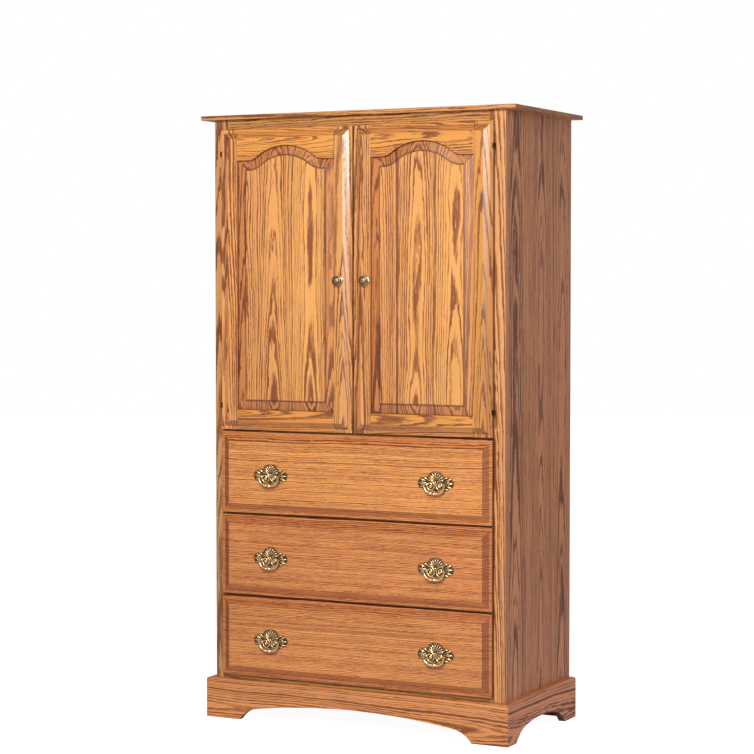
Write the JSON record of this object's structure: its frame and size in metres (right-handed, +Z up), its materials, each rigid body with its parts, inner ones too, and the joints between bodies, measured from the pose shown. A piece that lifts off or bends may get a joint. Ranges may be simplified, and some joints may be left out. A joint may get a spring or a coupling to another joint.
{
  "type": "armoire",
  "caption": "Tall wooden armoire with two raised-panel cathedral-arch doors over full-width drawers with bail pulls, on an arched bracket base.",
  "frame": {"origin": "on the floor, at the middle of the bounding box", "axes": "+X to the right of someone facing the doors, +Y to the back, +Z up"},
  "size_m": [1.04, 0.531, 1.829],
  "materials": {
    "oak_front": "satin lacquer on honey-stained oak",
    "oak_case": "satin lacquer on honey-stained oak",
    "oak_inside": "clear sealed oak",
    "oak_plywood": "clear sealed plywood",
    "pale_hardwood": "clear sealed hardwood",
    "antique_brass": "antiqued, darkened in the hollows",
    "zinc_steel": "zinc plated",
    "catch_plastic": "brown moulded"
  },
  "bodies": {
    "case": {"back_panel": "oak_plywood", "base_back": "pale_hardwood", "base_corner_blocks": "pale_hardwood", "base_front": "oak_front", "base_side_left": "oak_case", "base_side_right": "oak_case", "bottom_panel": "oak_inside", "divider_panel": "oak_inside", "door_catches": "catch_plastic", "drawer_runners": "pale_hardwood", "face_rail_bottom": "oak_front", "face_rail_middle": "oak_front", "face_rail_top": "oak_front", "face_rails_drawer": "oak_front", "face_stile_left": "oak_front", "face_stile_right": "oak_front", "hinge_frame_leaves": "antique_brass", "shelf_pins": "zinc_steel", "shelves": "oak_inside", "side_panel_left": "oak_case", "side_panel_right": "oak_case", "top_board": "oak_front", "top_cleats": "pale_hardwood"},
    "door_left": {"door_left_hinge_leaves": "antique_brass", "door_left_knob": "antique_brass", "door_left_panel": "oak_front", "door_left_rail_bottom": "oak_front", "door_left_rail_top": "oak_front", "door_left_stile_hinge": "oak_front", "door_left_stile_meeting": "oak_front", "door_left_strike": "zinc_steel"},
    "door_right": {"door_right_hinge_leaves": "antique_brass", "door_right_knob": "antique_brass", "door_right_panel": "oak_front", "door_right_rail_bottom": "oak_front", "door_right_rail_top": "oak_front", "door_right_stile_hinge": "oak_front", "door_right_stile_meeting": "oak_front", "door_right_strike": "zinc_steel"},
    "drawer_1": {"drawer_1_bottom": "oak_plywood", "drawer_1_ends": "pale_hardwood", "drawer_1_front": "oak_front", "drawer_1_pull_plates": "antique_brass", "drawer_1_sides": "pale_hardwood"},
    "drawer_2": {"drawer_2_bottom": "oak_plywood", "drawer_2_ends": "pale_hardwood", "drawer_2_front": "oak_front", "drawer_2_pull_plates": "antique_brass", "drawer_2_sides": "pale_hardwood"},
    "drawer_3": {"drawer_3_bottom": "oak_plywood", "drawer_3_ends": "pale_hardwood", "drawer_3_front": "oak_front", "drawer_3_pull_plates": "antique_brass", "drawer_3_sides": "pale_hardwood"},
    "bail_1_left": {"drawer_1_bail_left": "antique_brass"},
    "bail_1_right": {"drawer_1_bail_right": "antique_brass"},
    "bail_2_left": {"drawer_2_bail_left": "antique_brass"},
    "bail_2_right": {"drawer_2_bail_right": "antique_brass"},
    "bail_3_left": {"drawer_3_bail_left": "antique_brass"},
    "bail_3_right": {"drawer_3_bail_right": "antique_brass"}
  },
  "joints": [
    {"name": "door_left_hinge", "type": "hinge", "parent": "case", "child": "door_left", "pos_m": [-0.451, -0.236, 1.334], "axis": [0, 0, -1], "range_deg": [0, 110]},
    {"name": "door_right_hinge", "type": "hinge", "parent": "case", "child": "door_right", "pos_m": [0.451, -0.236, 1.334], "axis": [0, 0, 1], "range_deg": [0, 110]},
    {"name": "drawer_1_slide", "type": "slide", "parent": "case", "child": "drawer_1", "axis": [0, -1, 0], "range_m": [0, 0.33]},
    {"name": "drawer_2_slide", "type": "slide", "parent": "case", "child": "drawer_2", "axis": [0, -1, 0], "range_m": [0, 0.33]},
    {"name": "drawer_3_slide", "type": "slide", "parent": "case", "child": "drawer_3", "axis": [0, -1, 0], "range_m": [0, 0.33]},
    {"name": "bail_1_left_swing", "type": "hinge", "parent": "drawer_1", "child": "bail_1_left", "pos_m": [-0.275, -0.26, 0.7435], "axis": [-1, 0, 0], "range_deg": [0, 90]},
    {"name": "bail_1_right_swing", "type": "hinge", "parent": "drawer_1", "child": "bail_1_right", "pos_m": [0.275, -0.26, 0.7435], "axis": [-1, 0, 0], "range_deg": [0, 90]},
    {"name": "bail_2_left_swing", "type": "hinge", "parent": "drawer_2", "child": "bail_2_left", "pos_m": [-0.275, -0.26, 0.494], "axis": [-1, 0, 0], "range_deg": [0, 90]},
    {"name": "bail_2_right_swing", "type": "hinge", "parent": "drawer_2", "child": "bail_2_right", "pos_m": [0.275, -0.26, 0.494], "axis": [-1, 0, 0], "range_deg": [0, 90]},
    {"name": "bail_3_left_swing", "type": "hinge", "parent": "drawer_3", "child": "bail_3_left", "pos_m": [-0.275, -0.26, 0.24625], "axis": [-1, 0, 0], "range_deg": [0, 90]},
    {"name": "bail_3_right_swing", "type": "hinge", "parent": "drawer_3", "child": "bail_3_right", "pos_m": [0.275, -0.26, 0.24625], "axis": [-1, 0, 0], "range_deg": [0, 90]}
  ]
}
